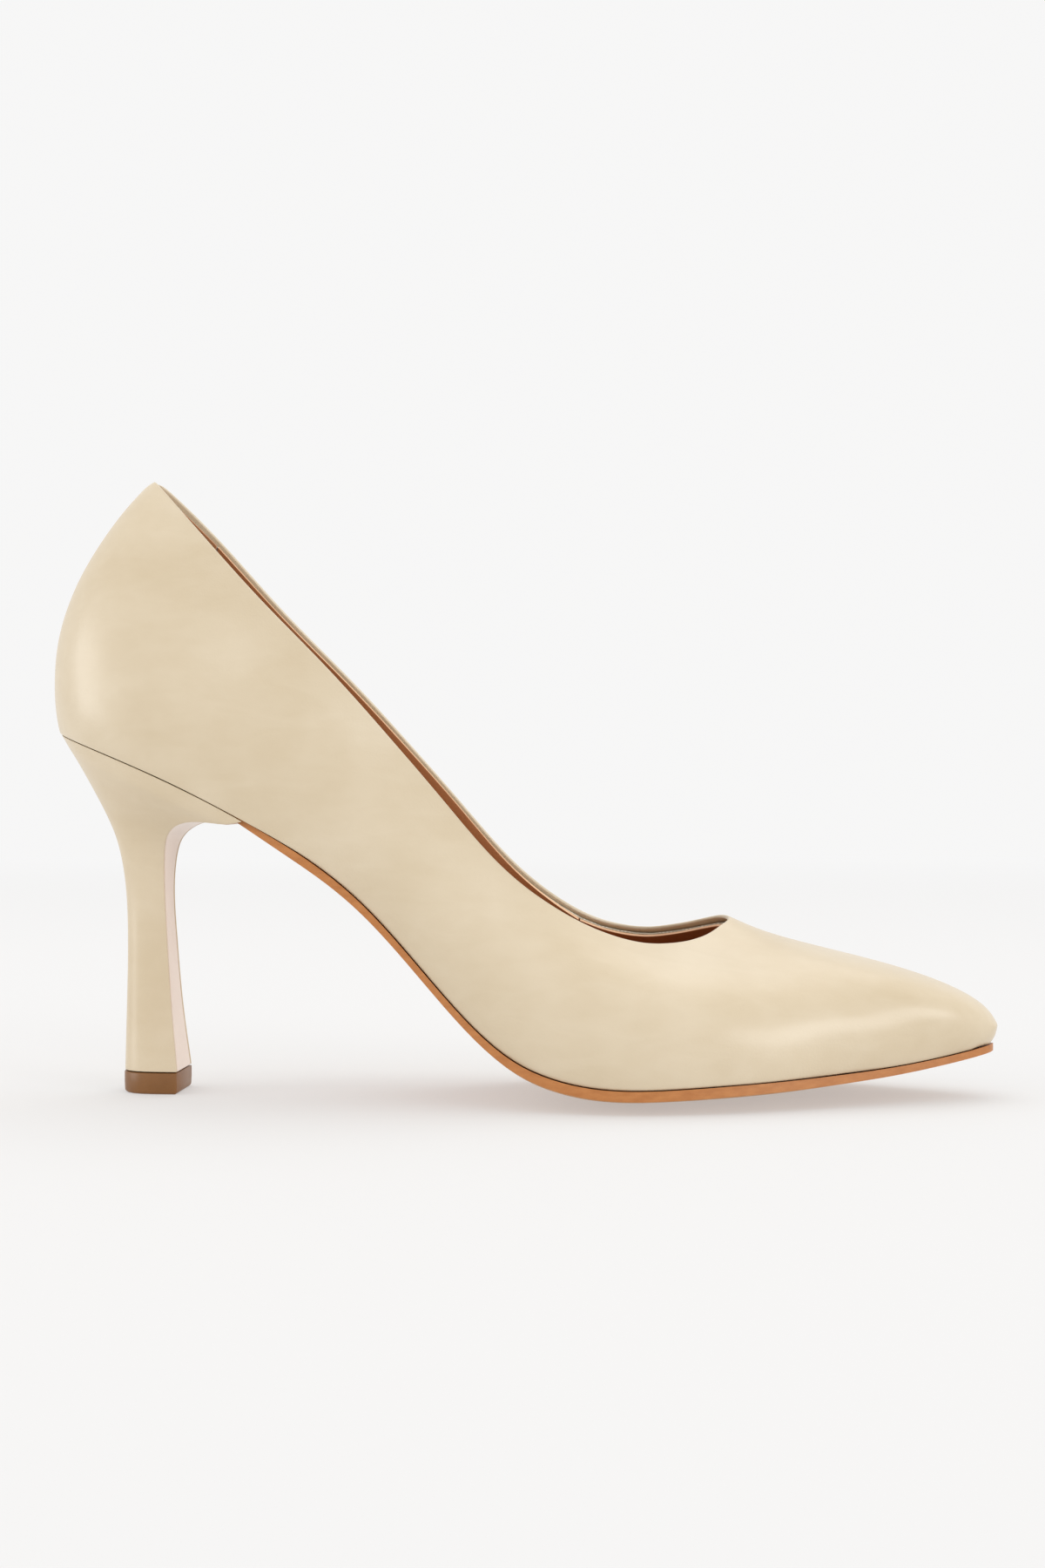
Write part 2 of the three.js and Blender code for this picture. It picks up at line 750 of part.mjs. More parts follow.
const seatPieces = [
  [screwDiameter, screwLength, screwX, 0],
  ...nails.map((place) => [nailDiameter, nailLength, ...place]),
];
const seatBores = seatPieces.map((piece) => seatBore(...piece));
const rivetBores = rivets.map((piece) => seatBore(...piece));
const recesses = [...seatPieces, ...rivets].map(([diameter, , x, y]) => seatRecess(diameter, x, y));
const rearBoard = between(board, -farX, boardJointX - 0.5 * gap);
add("shank_board", without(rearBoard, ...seatBores, ...rivetBores, ...recesses), stiffBoard);
add("insole_board", between(board, boardJointX + 0.5 * gap, farX), stiffBoard);
add("steel_shank", without(steelShank(), ...rivetBores), steel);
const filler = sheet(marginWidth + 2 * gap, () => 0, fillerThick);
add("bottom_filler", between(filler, shankFront + 1, farX), cork);
add("comfort_foam", sheet(foamInset, () => foamLow, foamHigh), foam);
add("sock_lining", sheet(sockInset, () => sockLow, sockHigh), tanLining);
add("outsole", outsole, soleLeather);

const tubeBore = upright(tubeDiameter + 2 * gap, 0, tubeLow + tubeLength + gap);
add("heel_core", without(heelCore(), tubeBore, ...seatBores), whiteAbs);
add("heel_cover", heelCover(), creamLeather);
add("heel_breast_cover", breastCover(), creamLeather);
add("heel_tube", heelTube(), steel);
add("top_lift", without(topLift(), upright(pinDiameter + 2 * gap, pinLow - gap, pinLength)), plasticTip);
add("top_lift_pin", upright(pinDiameter, pinLow, pinLength), steel);
seatPieces.forEach((piece, k) => {
  add(k === 0 ? "heel_screw" : `heel_nail_${k}`, seatFastener(...piece), steel);
});

rivets.forEach((piece, k) => {
  add(["shank_rivet_rear", "shank_rivet_front"][k], seatFastener(...piece), steel);
});

export default group;
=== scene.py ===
"""The looks of a cream leather court shoe with a flared heel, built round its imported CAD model."""

import math

import bmesh
import bpy
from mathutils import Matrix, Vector, noise


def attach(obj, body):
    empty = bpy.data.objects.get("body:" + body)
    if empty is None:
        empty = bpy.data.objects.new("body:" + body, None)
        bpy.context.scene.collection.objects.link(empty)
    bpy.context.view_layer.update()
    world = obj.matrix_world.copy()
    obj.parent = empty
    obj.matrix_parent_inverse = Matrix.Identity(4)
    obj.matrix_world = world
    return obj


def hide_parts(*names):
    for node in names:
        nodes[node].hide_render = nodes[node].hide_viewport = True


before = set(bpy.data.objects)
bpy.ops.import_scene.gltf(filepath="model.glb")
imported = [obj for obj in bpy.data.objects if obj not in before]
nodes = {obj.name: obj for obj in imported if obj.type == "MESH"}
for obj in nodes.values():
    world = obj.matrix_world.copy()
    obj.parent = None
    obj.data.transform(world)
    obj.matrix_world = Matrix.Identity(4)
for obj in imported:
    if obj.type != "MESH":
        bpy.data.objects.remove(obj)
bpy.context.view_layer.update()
scene = bpy.context.scene

MM = 0.001

# ---- driving sizes: lengths in millimetres, angles in radians ----
# rounded edges
SHARP = math.radians(35)
FLAT = math.radians(1)
FOLD_RADIUS = 0.45
LINING_EDGE = 0.22
COVER_EDGE = 0.2
SOLE_EDGE = 0.3
LIFT_EDGE = 0.25
EDGE_SEGMENTS = 2
SMOOTHING = 2
WELD = 0.01

# the topline, which climbs towards the heel, and how its layers meet
FRONT_X = 70
REAR_X = -85
RIM_LOW = 25
RIM_CLIMB = 0.85
RIM_FACING = 0.2
FOLD_THICKENING = 0.4
LINING_LEAN = 0.35

# the closing seam down the back
BACK_X = -80
BACK_FACING = -0.3
SEAM_HALF_WIDTH = 0.55
SEAM_DEPTH = 0.3

# the soft waves of leather drawn over the last, and the padded peak of the back
DRAW_ANGLE = math.radians(42)
DRAW_LENGTH = 55
DRAW_WIDTH = 17
DRAW_ROUND = 30
DRAW_START = 3
DRAW_DEPTH = 0.5
PEAK_LEAN = (-0.3, 0, 0.95)
PEAK_DEPTH = 1.9

# how far the other pieces reach over the gaps round them
SIDE_SHARE = 0.3
SOCK_SPREAD = 1.7
FOAM_TUCK = 0.6
SEAM_CLOSING = 0.18
BREAST_REACH = 0.45

# sockets of a Mix node, whose names are shared by its number and colour kinds
NUMBER_A, NUMBER_B, NUMBER_OUT = 2, 3, 0
COLOUR_A, COLOUR_B, COLOUR_OUT = 6, 7, 2


# ---- materials ----
def linear(code):
    """An sRGB hex value as linear colour."""
    channels = [int(code[k : k + 2], 16) / 255 for k in (0, 2, 4)]
    return (*[c / 12.92 if c <= 0.04045 else ((c + 0.055) / 1.055) ** 2.4 for c in channels], 1)


def add_node(tree, kind, inputs=None, **settings):
    """Adds a node with its settings, and links or sets its inputs."""
    node = tree.nodes.new(kind)
    for key, value in settings.items():
        setattr(node, key, value)
    for key, value in (inputs or {}).items():
        if isinstance(value, bpy.types.NodeSocket):
            tree.links.new(value, node.inputs[key])
        else:
            node.inputs[key].default_value = value
    return node


def start_material(name, **sockets):
    """A new material: its tree, its shader and the place on the piece."""
    material = bpy.data.materials.new(name)
    material.use_nodes = True
    tree = material.node_tree
    shader = tree.nodes["Principled BSDF"]
    for key, value in sockets.items():
        shader.inputs[key.replace("_", " ")].default_value = value
    place = add_node(tree, "ShaderNodeTexCoord").outputs["Object"]
    return material, tree, shader, place


def per_mm(size):
    """The scale of a pattern whose cells are that many millimetres."""
    return 1 / (size * MM)


def mottled(tree, factor, low, high, spread=0.5):
    """A colour between two, by a pattern's value."""
    ramp = add_node(tree, "ShaderNodeValToRGB", {"Fac": factor})
    ramp.color_ramp.elements[0].position = 0.5 - 0.5 * spread
    ramp.color_ramp.elements[0].color = linear(low)
    ramp.color_ramp.elements[1].position = 0.5 + 0.5 * spread
    ramp.color_ramp.elements[1].color = linear(high)
    return ramp.outputs["Color"]


def facing(tree, start, full):
    """How far the surface faces up, or down for negative values: 0 at start and 1 at full."""
    normal = add_node(tree, "ShaderNodeNewGeometry").outputs["Normal"]
    parts = add_node(tree, "ShaderNodeSeparateXYZ", {0: normal})
    share = add_node(
        tree,
        "ShaderNodeMapRange",
        {"Value": parts.outputs["Z"], "From Min": start, "From Max": full},
    )
    return share.outputs["Result"]


def bumps(tree, shader, *layers):
    """Stacks bump layers, each a height, its depth in millimetres and its strength."""
    normal = None
    for height, depth, strength in layers:
        inputs = {"Height": height, "Distance": depth * MM, "Strength": strength}
        if normal:
            inputs["Normal"] = normal
        normal = add_node(tree, "ShaderNodeBump", inputs).outputs["Normal"]
    tree.links.new(normal, shader.inputs["Normal"])


def nappa(name, pale, deep):
    """Finished calf leather: a close grain, faint creases with painted shade in their hollows, and a
    satin top coat.
    """
    material, tree, shader, place = start_material(
        name, IOR=1.5, Coat_Weight=0.4, Coat_Roughness=0.25
    )
    cloud = add_node(
        tree, "ShaderNodeTexNoise", {"Vector": place, "Scale": per_mm(24), "Detail": 3.0}
    )
    stretched = add_node(
        tree,
        "ShaderNodeMapping",
        {"Vector": place, "Rotation": (0, DRAW_ANGLE, 0), "Scale": (0.35, 1, 1)},
    ).outputs["Vector"]
    crease = add_node(
        tree,
        "ShaderNodeTexNoise",
        {"Vector": stretched, "Scale": per_mm(5), "Detail": 4.0, "Distortion": 0.8},
    )
    # the real grain is about 0.3 mm; it is drawn at twice that so that it shows
    grain = add_node(tree, "ShaderNodeTexVoronoi", {"Vector": place, "Scale": per_mm(0.6)})
    # the colour is 70 % the leather's own mottled tone and 30 % painted shade that follows the
    # creases, darker down in their hollows
    shade = add_node(
        tree,
        "ShaderNodeMix",
        {
            "Factor": 0.3,
            COLOUR_A: mottled(tree, cloud.outputs["Fac"], deep, pale),
            COLOUR_B: mottled(tree, crease.outputs["Fac"], deep, pale),
        },
        data_type="RGBA",
    )
    tree.links.new(shade.outputs[COLOUR_OUT], shader.inputs["Base Color"])
    gloss = add_node(
        tree,
        "ShaderNodeMapRange",
        {"Value": crease.outputs["Fac"], "To Min": 0.38, "To Max": 0.52},
    )
    tree.links.new(gloss.outputs["Result"], shader.inputs["Roughness"])
    bumps(
        tree,
        shader,
        (crease.outputs["Fac"], 0.25, 0.25),
        (grain.outputs["Distance"], 0.06, 0.3),
    )
    return material


def lining_leather(name, pale, deep, roughness, cut_edge):
    """Unfinished glove leather: matt, with open pores and a paler cut edge."""
    material, tree, shader, place = start_material(name, IOR=1.45, Roughness=roughness)
    cloud = add_node(
        tree, "ShaderNodeTexNoise", {"Vector": place, "Scale": per_mm(14), "Detail": 5.0}
    )
    pores = add_node(tree, "ShaderNodeTexVoronoi", {"Vector": place, "Scale": per_mm(0.9)})
    colour = add_node(
        tree,
        "ShaderNodeMix",
        {
            "Factor": facing(tree, 0.45, 0.7),
            COLOUR_A: mottled(tree, cloud.outputs["Fac"], deep, pale, 0.6),
            COLOUR_B: linear(cut_edge),
        },
        data_type="RGBA",
    )
    tree.links.new(colour.outputs[COLOUR_OUT], shader.inputs["Base Color"])
    bumps(tree, shader, (cloud.outputs["Fac"], 0.2, 0.2), (pores.outputs["Distance"], 0.1, 0.35))
    return material


def sueded(name, pale, deep):
    """Suede: a brushed nap that catches light at its edges."""
    material, tree, shader, place = start_material(
        name, IOR=1.45, Roughness=0.95, Sheen_Weight=0.35, Sheen_Roughness=0.5
    )
    nap = add_node(
        tree,
        "ShaderNodeTexNoise",
        {"Vector": place, "Scale": per_mm(0.5), "Detail": 6.0, "Roughness": 0.7},
    )
    brushed = add_node(
        tree, "ShaderNodeTexNoise", {"Vector": place, "Scale": per_mm(9), "Detail": 2.0}
    )
    blend = add_node(
        tree,
        "ShaderNodeMix",
        {"Factor": 0.5, NUMBER_A: nap.outputs["Fac"], NUMBER_B: brushed.outputs["Fac"]},
    ).outputs[NUMBER_OUT]
    tree.links.new(mottled(tree, blend, deep, pale, 0.4), shader.inputs["Base Color"])
    bumps(tree, shader, (nap.outputs["Fac"], 0.2, 0.5))
    return material


def sole_leather(name, edge_pale, edge_deep, face_pale, face_deep):
    """Vegetable-tanned sole bend: a waxed edge, and a drier face with short fibres underneath."""
    material, tree, shader, place = start_material(name, IOR=1.5)
    layers = add_node(
        tree, "ShaderNodeMapping", {"Vector": place, "Scale": (1, 1, 3)}
    ).outputs["Vector"]
    streak = add_node(
        tree,
        "ShaderNodeTexNoise",
        {"Vector": layers, "Scale": per_mm(4), "Detail": 5.0, "Roughness": 0.6},
    )
    fibre = add_node(
        tree, "ShaderNodeTexNoise", {"Vector": place, "Scale": per_mm(0.7), "Detail": 6.0}
    )
    under = facing(tree, -0.6, -0.9)
    colour = add_node(
        tree,
        "ShaderNodeMix",
        {
            "Factor": under,
            COLOUR_A: mottled(tree, streak.outputs["Fac"], edge_deep, edge_pale),
            COLOUR_B: mottled(tree, streak.outputs["Fac"], face_deep, face_pale),
        },
        data_type="RGBA",
    )
    tree.links.new(colour.outputs[COLOUR_OUT], shader.inputs["Base Color"])
    rough = add_node(tree, "ShaderNodeMapRange", {"Value": under, "To Min": 0.38, "To Max": 0.62})
    tree.links.new(rough.outputs["Result"], shader.inputs["Roughness"])
    bumps(tree, shader, (streak.outputs["Fac"], 0.1, 0.2), (fibre.outputs["Fac"], 0.08, 0.35))
    return material


def moulded(name, pale, deep, roughness):
    """Moulded plastic: an even colour with a spark-eroded surface."""
    material, tree, shader, place = start_material(name, IOR=1.5, Roughness=roughness)
    cloud = add_node(
        tree, "ShaderNodeTexNoise", {"Vector": place, "Scale": per_mm(6), "Detail": 3.0}
    )
    erosion = add_node(
        tree, "ShaderNodeTexNoise", {"Vector": place, "Scale": per_mm(0.5), "Detail": 3.0}
    )
    tint = mottled(tree, cloud.outputs["Fac"], deep, pale, 0.7)
    tree.links.new(tint, shader.inputs["Base Color"])
    bumps(tree, shader, (erosion.outputs["Fac"], 0.05, 0.4))
    return material


def pressed_board(name, pale, deep, fleck):
    """Pressed cellulose or fibre sheet: short flecks in a matt felt."""
    material, tree, shader, place = start_material(name, IOR=1.45, Roughness=0.88)
    laid = add_node(
        tree, "ShaderNodeMapping", {"Vector": place, "Scale": (1, 3, 1)}
    ).outputs["Vector"]
    flecks = add_node(
        tree,
        "ShaderNodeTexNoise",
        {
            "Vector": laid,
            "Scale": per_mm(fleck),
            "Detail": 8.0,
            "Roughness": 0.75,
            "Distortion": 1.5,
        },
    )
    tint = mottled(tree, flecks.outputs["Fac"], deep, pale, 0.3)
    tree.links.new(tint, shader.inputs["Base Color"])
    bumps(tree, shader, (flecks.outputs["Fac"], 0.12, 0.5))
    return material


def granular(name, pale, deep, cell, roughness):
    """Cork or foam: packed granules or open cells."""
    material, tree, shader, place = start_material(name, IOR=1.4, Roughness=roughness)
    cells = add_node(tree, "ShaderNodeTexVoronoi", {"Vector": place, "Scale": per_mm(cell)})
    chance = add_node(tree, "ShaderNodeSeparateXYZ", {0: cells.outputs["Color"]}).outputs["X"]
    tree.links.new(mottled(tree, chance, deep, pale, 0.9), shader.inputs["Base Color"])
    bumps(tree, shader, (cells.outputs["Distance"], 0.3 * cell, 0.5))
    return material


def woven_tape(name, pale, deep):
    """Reinforcing tape: a plain weave of cotton thread at 0.5 mm."""
    material, tree, shader, place = start_material(name, IOR=1.45, Roughness=0.85)
    threads = [
        add_node(
            tree,
            "ShaderNodeTexWave",
            {"Vector": place, "Scale": per_mm(0.5) / math.tau},
            bands_direction=axis,
            wave_profile="SIN",
        ).outputs["Fac"]
        for axis in ("X", "Z")
    ]
    weave = add_node(
        tree, "ShaderNodeMath", {0: threads[0], 1: threads[1]}, operation="MULTIPLY"
    ).outputs[0]
    tree.links.new(mottled(tree, weave, deep, pale, 0.8), shader.inputs["Base Color"])
    bumps(tree, shader, (weave, 0.15, 0.6))
    return material


def plated_steel(name, pale, deep):
    """Zinc-plated spring steel: drawn along its length, a little cloudy."""
    material, tree, shader, place = start_material(name, Metallic=1.0)
    drawn = add_node(
        tree, "ShaderNodeMapping", {"Vector": place, "Scale": (0.15, 1, 1)}
    ).outputs["Vector"]
    lines = add_node(
        tree, "ShaderNodeTexNoise", {"Vector": drawn, "Scale": per_mm(0.4), "Detail": 4.0}
    )
    cloud = add_node(
        tree, "ShaderNodeTexNoise", {"Vector": place, "Scale": per_mm(5), "Detail": 3.0}
    )
    tint = mottled(tree, cloud.outputs["Fac"], deep, pale)
    tree.links.new(tint, shader.inputs["Base Color"])
    rough = add_node(
        tree, "ShaderNodeMapRange", {"Value": lines.outputs["Fac"], "To Min": 0.25, "To Max": 0.45}
    )
    tree.links.new(rough.outputs["Result"], shader.inputs["Roughness"])
    bumps(tree, shader, (lines.outputs["Fac"], 0.03, 0.3))
    return material


upper_leather = nappa("cream_nappa_leather", "D7C8AE", "C9B798")
heel_leather = nappa("cream_heel_leather", "D4C4A9", "C8B595")
# the breast cover gets a paler, pinker copy of the heel's leather: its paleness is painted light
# from the front right, its pinker tone the cover's own
breast_leather_with_painted_light = nappa("cream_breast_leather_with_painted_light", "EEDFD2", "E4D3C4")
# the glove lining's tan is darkened below its own colour: painted shade for the inside of the shoe;
# its pale cut edge keeps the leather's own colour
glove_lining_with_painted_shade = lining_leather("tan_glove_leather_with_painted_shade", "AE7347", "9C6238", 0.6, "E8BE98")
sock_leather = lining_leather("tan_sock_leather", "B77E50", "A66D41", 0.5, "B57B4D")
suede = sueded("tan_suede", "B27C51", "9B6840")
tan_sole = sole_leather("burnished_sole_leather", "BD7C42", "A8672F", "CFA06C", "B98552")
tip_plastic = moulded("moulded_polyurethane", "845729", "744A1C", 0.4)
white_plastic = moulded("moulded_abs", "E2DED2", "D4CFC0", 0.42)
shank_fibreboard = pressed_board("pressed_fibreboard", "B0906A", "8F7148", 1.4)
stiffener = pressed_board("thermoplastic_felt", "D8CEB2", "BFB392", 0.8)
cork = granular("ground_cork", "A97C50", "7D5833", 1.6, 0.9)
foam_rubber = granular("latex_foam", "EFE6D2", "E0D5BC", 0.8, 0.95)
cotton_tape = woven_tape("woven_cotton_tape", "ECE6D6", "CFC8B4")
steel = plated_steel("zinc_plated_steel", "C2C5C8", "9DA1A6")


# ---- pieces that keep their CAD shape ----
def dress(material, *names):
    """Gives CAD nodes a material."""
    for name in names:
        mesh = nodes[name].data
        mesh.materials.clear()
        mesh.materials.append(material)


dress(stiffener, "toe_puff", "heel_counter")
dress(cotton_tape, "topline_tape")
dress(shank_fibreboard, "shank_board", "insole_board")
dress(cork, "bottom_filler")
dress(white_plastic, "heel_core")
dress(steel, "steel_shank", "heel_tube", "top_lift_pin", "heel_screw")
dress(steel, *[f"heel_nail_{k}" for k in range(1, 5)], "shank_rivet_rear", "shank_rivet_front")


# ---- making a piece from its CAD shape ----
def merged_copy(node):
    """A copy of a node's mesh with its loose triangles joined up."""
    bm = bmesh.new()
    bm.from_mesh(nodes[node].data)
    bmesh.ops.remove_doubles(bm, verts=bm.verts, dist=WELD * MM)
    bm.normal_update()
    return bm


def join_cells(bm):
    """Joins a lattice's triangles back into its four-sided cells.

    Across an edge, each side of the next triangle keeps the direction of the side that it runs
    beside. The direction with the longest edges is the one that splits the cells.
    """
    smooth = {e for e in bm.edges if e.is_manifold and e.calc_face_angle() <= SHARP}
    seen = set()
    splits = []
    for first in bm.faces:
        if first in seen:
            continue
        seen.add(first)
        patch = [first]
        direction = {edge: k for k, edge in enumerate(first.edges)}
        for face in patch:
            for edge in (e for e in face.edges if e in smooth):
                other = next(f for f in edge.link_faces if f != face)
                if other in seen:
                    continue
                seen.add(other)
                patch.append(other)
                for side in (e for e in other.edges if e != edge):
                    near = next(v for v in side.verts if v in edge.verts)
                    across = next(e for e in face.edges if e != edge and near not in e.verts)
                    direction[side] = direction[across]
        inner = [e for e in direction if e in smooth]
        lengths = [sum(e.calc_length() for e in inner if direction[e] == k) for k in range(3)]
        splits += [e for e in inner if direction[e] == lengths.index(max(lengths))]
    bmesh.ops.dissolve_edges(bm, edges=splits, use_verts=False)


def sharp_edges(bm):
    """The edges that stand out from the smooth faces."""
    return [e for e in bm.edges if e.is_manifold and e.calc_face_angle() > SHARP]


def bevel(bm, edges, width, clamp=True):
    """Rounds edges over a width in millimetres."""
    bmesh.ops.bevel(
        bm,
        geom=edges,
        offset=width * MM,
        segments=EDGE_SEGMENTS,
        profile=0.5,
        affect="EDGES",
        material=-1,
        clamp_overlap=clamp,
    )


def add_piece(name, bm, material, smoothing=SMOOTHING):
    """Makes a piece of a bmesh, with its surface smoothed."""
    bmesh.ops.recalc_face_normals(bm, faces=bm.faces)
    for face in bm.faces:
        face.smooth = True
    mesh = bpy.data.meshes.new(name)
    bm.to_mesh(mesh)
    bm.free()
    mesh.materials.append(material)
    piece = bpy.data.objects.new(name, mesh)
    scene.collection.objects.link(piece)
    if smoothing:
        subdivision = piece.modifiers.new("smoothing", "SUBSURF")
        subdivision.levels = smoothing
        subdivision.render_levels = smoothing
    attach(piece, "root")
    return piece


def rework(name, node, material, edge, shape):
    """A smooth, round-edged piece that stands for a CAD node."""
    bm = merged_copy(node)
    join_cells(bm)
    shape(bm)
    bevel(bm, sharp_edges(bm), edge)
    piece = add_piece(name, bm, material)
    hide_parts(node)
    return piece


def settle(piece):
    """Applies a piece's smoothing, so that its surface can be worked."""
    graph = bpy.context.evaluated_depsgraph_get()
    mesh = bpy.data.meshes.new_from_object(piece.evaluated_get(graph))
    piece.modifiers.clear()
    piece.data = mesh


# ---- the upper ----
def outward(spot):
    """The level direction out of the shoe's middle line at a place."""
    middle = max(REAR_X * MM, min(spot.x, FRONT_X * MM))
    return Vector((spot.x - middle, spot.y, 0)).normalized()


def topline_verts(bm):
    """The vertices along the sharp upper edges of a wall, well above the insole."""
    sharp = {v for e in sharp_edges(bm) for v in e.verts}
    return [
        v
        for v in sharp
        if v.normal.z > RIM_FACING and v.co.z > RIM_LOW * MM + RIM_CLIMB * max(0, -v.co.x)
    ]


def on_back_line(vert):
    """Whether a vertex lies on the outside of the back, in its middle."""
    middle = abs(vert.co.y) < WELD * MM
    return middle and vert.co.x < BACK_X * MM and vert.normal.x < BACK_FACING


def fold_and_close(bm):
    """Thickens the folded topline inward and presses the closing seam into the back."""
    for vert in topline_verts(bm):
        out = outward(vert.co)
        if vert.normal.dot(out) < 0:
            vert.co -= out * FOLD_THICKENING * MM
    back = [e for e in bm.edges if all(on_back_line(v) for v in e.verts)]
    bevel(bm, back, SEAM_HALF_WIDTH, clamp=False)
    bm.normal_update()
    for vert in bm.verts:
        if on_back_line(vert):
            vert.co -= SEAM_DEPTH * MM * vert.normal


def draw_over_last(piece):
    """Moves the outside in and out a little, in long soft waves that run with the topline."""
    along = Vector((math.cos(DRAW_ANGLE), 0, -math.sin(DRAW_ANGLE)))
    up = Vector((math.sin(DRAW_ANGLE), 0, math.cos(DRAW_ANGLE)))
    normals = [vert.normal.copy() for vert in piece.data.vertices]
    for vert, normal in zip(piece.data.vertices, normals):
        spot = vert.co
        outside = max(normal.dot(outward(spot)), 0)
        place = Vector(
            (
                spot.dot(along) / (DRAW_LENGTH * MM),
                spot.dot(up) / (DRAW_WIDTH * MM),
                DRAW_START + spot.y / (DRAW_ROUND * MM),
            )
        )
        vert.co = spot + normal * (outside * DRAW_DEPTH * MM * noise.noise(place))


def round_heel_peak(piece):
    """Rounds off the very top of the back, where the folded edge is padded."""
    lean = Vector(PEAK_LEAN).normalized()
    heights = [vert.co.dot(lean) for vert in piece.data.vertices]
    start = max(heights) - PEAK_DEPTH * MM
    for vert, height in zip(piece.data.vertices, heights):
        if height > start:
            vert.co -= lean * (height - start) ** 2 / (2 * PEAK_DEPTH * MM)


upper = rework(
    "shoe_upper", "upper_outer", upper_leather, FOLD_RADIUS, fold_and_close
)
settle(upper)
draw_over_last(upper)
round_heel_peak(upper)


# ---- the linings, the sock and its foam, the heel's covers and the sole ----
def lean_out(bm):
    """Brings a lining's top edge up against the folded edge of the upper."""
    for vert in topline_verts(bm):
        vert.co += outward(vert.co) * LINING_LEAN * MM


def shift_out(bm, distance):
    """Moves a flat piece's edge out by a distance in millimetres."""
    moves = {}
    for edge in sharp_edges(bm):
        for vert in edge.verts:
            side = Vector((vert.normal.x, vert.normal.y, 0))
            if side.length > SIDE_SHARE:
                moves[vert] = side.normalized() * distance * MM
    for vert, move in moves.items():
        vert.co += move


def spread_sock(bm):
    """Brings the sock's edge out to the lining, over the foam."""
    shift_out(bm, SOCK_SPREAD)


def tuck_foam(bm):
    """Keeps the foam's edge under the sock."""
    shift_out(bm, -FOAM_TUCK)


def close_up(bm):
    """Brings a piece's upper side up to the leather above it."""
    for vert in bm.verts:
        vert.co.z += SEAM_CLOSING * MM * max(vert.normal.z, 0)


def widen_breast(bm):
    """Brings the breast cover out to the edges of the leather that wraps the heel."""
    half_width = max(v.co.y for v in bm.verts)
    for vert in bm.verts:
        vert.co.y += BREAST_REACH * MM * vert.co.y / half_width


for node, material, slot in [
    ("vamp_lining", glove_lining_with_painted_shade, "tan_lining"),
    ("quarter_lining_lateral", glove_lining_with_painted_shade, "tan_lining"),
    ("quarter_lining_medial", glove_lining_with_painted_shade, "tan_lining"),
    ("heel_grip", suede, "suede"),
]:
    rework(f"shoe_{node}", node, material, LINING_EDGE, lean_out)
rework("shoe_sock", "sock_lining", sock_leather, LINING_EDGE, spread_sock)
foam = rework("shoe_comfort_foam", "comfort_foam", foam_rubber, LINING_EDGE, tuck_foam)
rework("heel_wrap", "heel_cover", heel_leather, COVER_EDGE, close_up)
rework(
    "heel_breast", "heel_breast_cover", breast_leather_with_painted_light, COVER_EDGE, widen_breast
)
rework("leather_sole", "outsole", tan_sole, SOLE_EDGE, close_up)

# the tip is moulded with flat faces, so it is rounded at its edges but not smoothed
lift = merged_copy("top_lift")
bmesh.ops.dissolve_limit(lift, angle_limit=FLAT, verts=lift.verts, edges=lift.edges)
bevel(lift, sharp_edges(lift), LIFT_EDGE)
heel_tip = add_piece("heel_tip", lift, tip_plastic, smoothing=0)
heel_tip.data.set_sharp_from_angle(angle=SHARP)
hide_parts("top_lift")


# ---- studio: lengths in metres, powers in watts ----
FLOOR_RADIUS = 3
# the floor's glow under the shoe is painted light that pales the shoe's shadow on it
FLOOR_GLOW = 0.4
GLOW_FROM = 0.4
GLOW_TO = 0.6 * FLOOR_RADIUS
PAPER = "DFDEDD"
ROOM_WHITE = (1, 0.997, 0.995, 1)
ROOM_LIGHT = 0.93
CAMERA_TURN = math.radians(4)
CAMERA_DISTANCE = 0.544
CAMERA_HEIGHT = 0.0773
LENS_MM = 50
FILM_HEIGHT_MM = 36


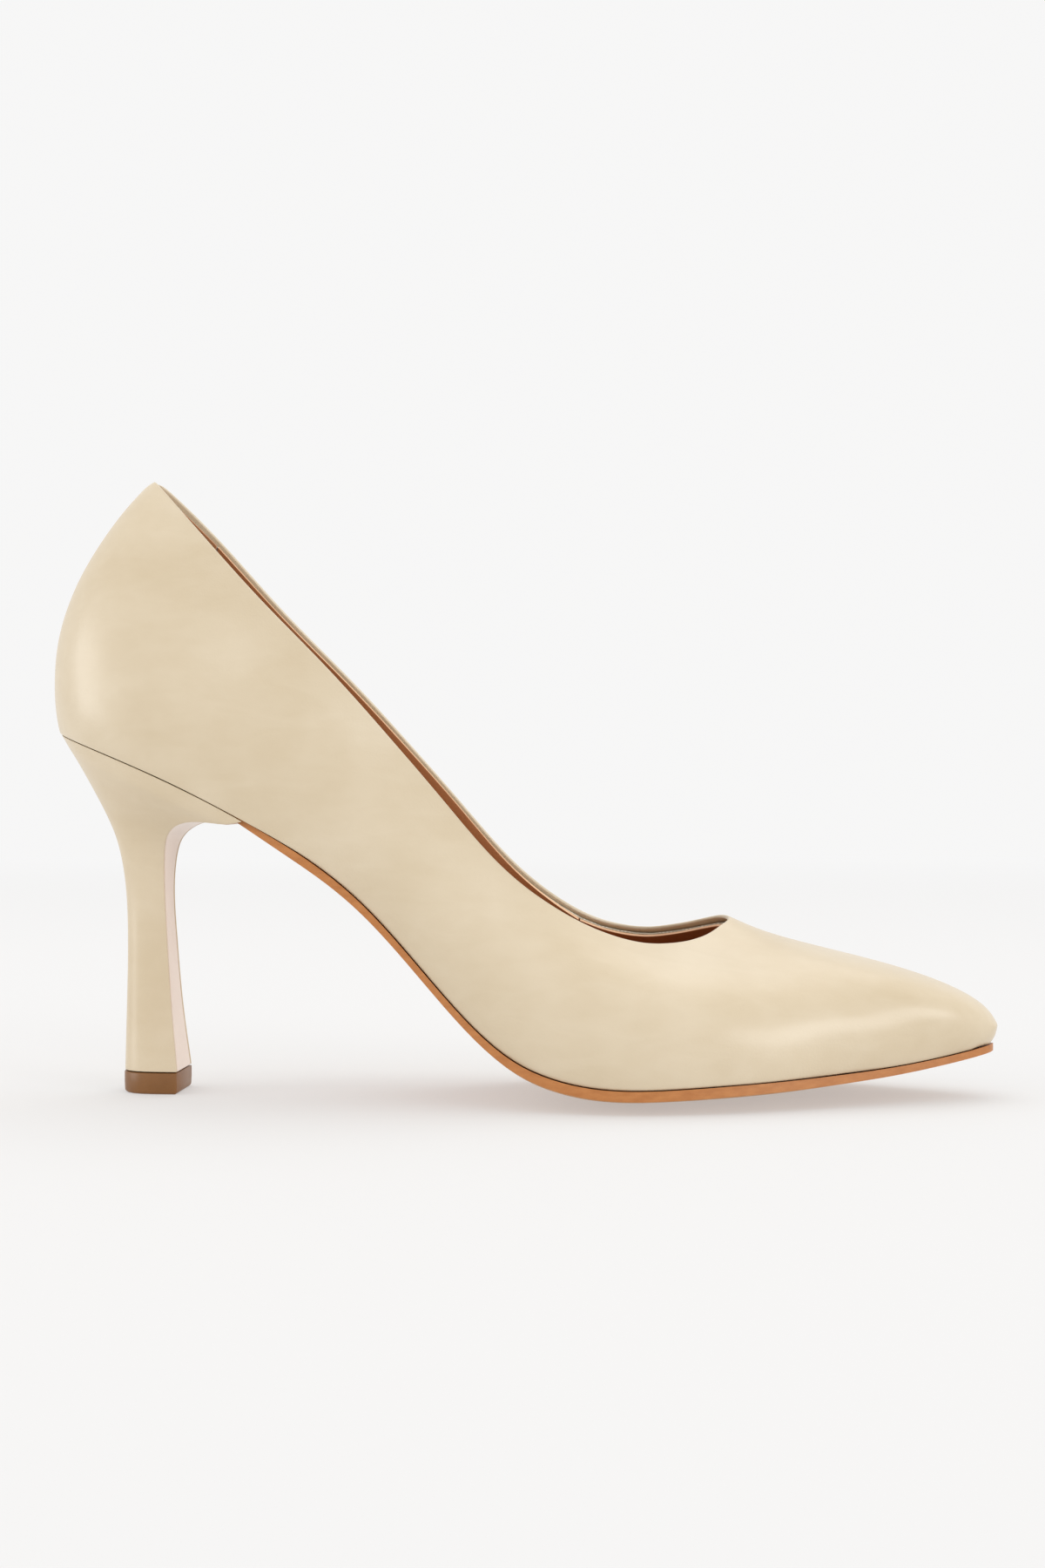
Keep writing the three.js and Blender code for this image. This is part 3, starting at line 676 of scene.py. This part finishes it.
def paper_floor():
    """A pale paper floor that glows a little even under the shoe, painted light that pales the
    shoe's shadow, and more towards its far edges, and so ends in the room's white.
    """
    bm = bmesh.new()
    bmesh.ops.create_circle(bm, cap_ends=True, segments=96, radius=FLOOR_RADIUS)
    mesh = bpy.data.meshes.new("paper_floor")
    bm.to_mesh(mesh)
    bm.free()
    floor = bpy.data.objects.new("paper_floor", mesh)
    scene.collection.objects.link(floor)
    material, tree, shader, place = start_material(
        "matt_paper", Base_Color=linear(PAPER), Roughness=0.9, IOR=1.3
    )
    reach = add_node(tree, "ShaderNodeVectorMath", {0: place}, operation="LENGTH").outputs["Value"]
    far = add_node(
        tree,
        "ShaderNodeMapRange",
        {"Value": reach, "From Min": GLOW_FROM, "From Max": GLOW_TO, "To Min": FLOOR_GLOW},
        interpolation_type="SMOOTHSTEP",
    ).outputs["Result"]
    glow = add_node(tree, "ShaderNodeEmission", {"Color": ROOM_WHITE, "Strength": ROOM_LIGHT})
    blend = add_node(
        tree,
        "ShaderNodeMixShader",
        {0: far, 1: shader.outputs["BSDF"], 2: glow.outputs["Emission"]},
    )
    tree.links.new(blend.outputs["Shader"], tree.nodes["Material Output"].inputs["Surface"])
    mesh.materials.append(material)


def softbox(name, place, aim, size, power):
    """A square white softbox that looks at a point."""
    data = bpy.data.lights.new(name, "AREA")
    data.size = size
    data.energy = power
    light = bpy.data.objects.new(name, data)
    light.location = place
    light.rotation_euler = (Vector(aim) - Vector(place)).to_track_quat("-Z", "Y").to_euler()
    scene.collection.objects.link(light)


paper_floor()
softbox("overhead", (0, 0.4, 1.7), (0, 0, 0), 1.6, 10)
softbox("low_right", (1.3, -1.0, 0.25), (-0.09, 0, 0.04), 0.7, 8)
softbox("low_left", (-1.5, -0.4, 0.3), (-0.1, 0, 0.06), 0.7, 6)

world = bpy.data.worlds.new("room")
world.use_nodes = True
room = world.node_tree.nodes["Background"]
room.inputs["Color"].default_value = ROOM_WHITE
room.inputs["Strength"].default_value = ROOM_LIGHT
scene.world = world
scene.view_settings.view_transform = "Standard"

camera_data = bpy.data.cameras.new("camera")
camera_data.lens = LENS_MM
camera_data.sensor_fit = "VERTICAL"
camera_data.sensor_height = FILM_HEIGHT_MM
camera = bpy.data.objects.new("camera", camera_data)
camera.location = (
    CAMERA_DISTANCE * math.sin(CAMERA_TURN),
    -CAMERA_DISTANCE * math.cos(CAMERA_TURN),
    CAMERA_HEIGHT,
)
camera.rotation_euler = (math.radians(90), 0, CAMERA_TURN)
scene.collection.objects.link(camera)
scene.camera = camera
